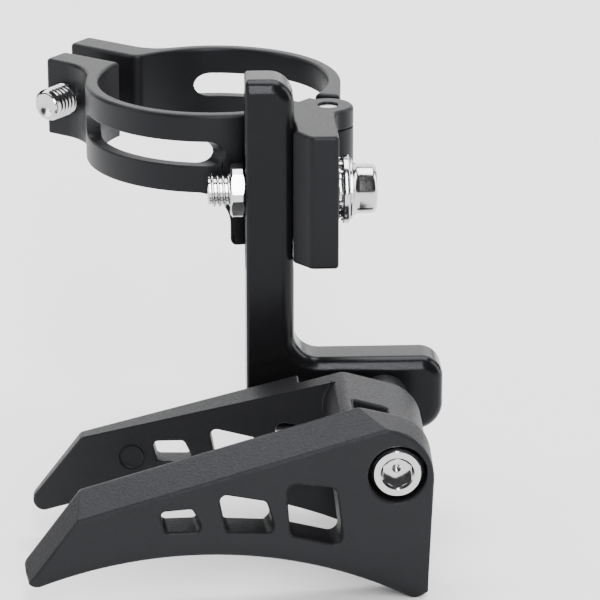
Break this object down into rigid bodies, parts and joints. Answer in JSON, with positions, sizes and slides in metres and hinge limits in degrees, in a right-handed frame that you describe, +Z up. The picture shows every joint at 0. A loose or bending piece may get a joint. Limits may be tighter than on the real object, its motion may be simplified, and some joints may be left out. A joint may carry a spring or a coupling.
{
  "type": "bicycle chain guide",
  "caption": "Seat-tube chain guide: hinged ring clamp with a column, a height-adjustable L-shaped arm and a pivoting cage of flared plates that keeps the chain on the chainring.",
  "frame": {"origin": "centre of the clamp's bore at the middle of the band's height", "axes": "+Z up along the seat tube, -Y towards the drive side where the cage holds the chain, +X towards the bicycle's front"},
  "size_m": [0.0617, 0.0909, 0.0682],
  "materials": {
    "clamp": "matte black anodised",
    "arm": "gloss black anodised",
    "steel": "bright stainless",
    "cage": "grained black moulding"
  },
  "bodies": {
    "clamp": {"clamp_body": "clamp", "hinge_pin": "steel", "arm_screw": "steel", "arm_nut": "steel", "arm_lock_washer": "steel", "arm_flat_washer": "steel"},
    "gate": {"clamp_gate": "clamp"},
    "clamp_screw": {"clamp_screw": "steel"},
    "arm": {"guide_arm": "arm", "cage_screw": "steel", "cage_spacer": "cage"},
    "cage": {"inner_cage_plate": "cage", "outer_cage_plate": "cage"}
  },
  "joints": [
    {"name": "gate_hinge", "type": "hinge", "parent": "clamp", "child": "gate", "pos_m": [0.0168, -0.0145, 0], "axis": [0, 0, 1], "range_deg": [0, 4.2]},
    {"name": "clamp_screw_travel", "type": "slide", "parent": "clamp", "child": "clamp_screw", "axis": [-0.6018, -0.7986, 0], "range_m": [0, 0.003]},
    {"name": "arm_height", "type": "slide", "parent": "clamp", "child": "arm", "axis": [0, 0, 1], "range_m": [-0.012, 0.0095]},
    {"name": "cage_tilt", "type": "hinge", "parent": "arm", "child": "cage", "pos_m": [0.0245, -0.046, -0.03545], "axis": [0, 1, 0], "range_deg": [-25, 25]}
  ],
  "couplings": [
    {"joint": "clamp_screw_travel", "follows": "gate_hinge", "m_per_rad": 0.0405}
  ]
}
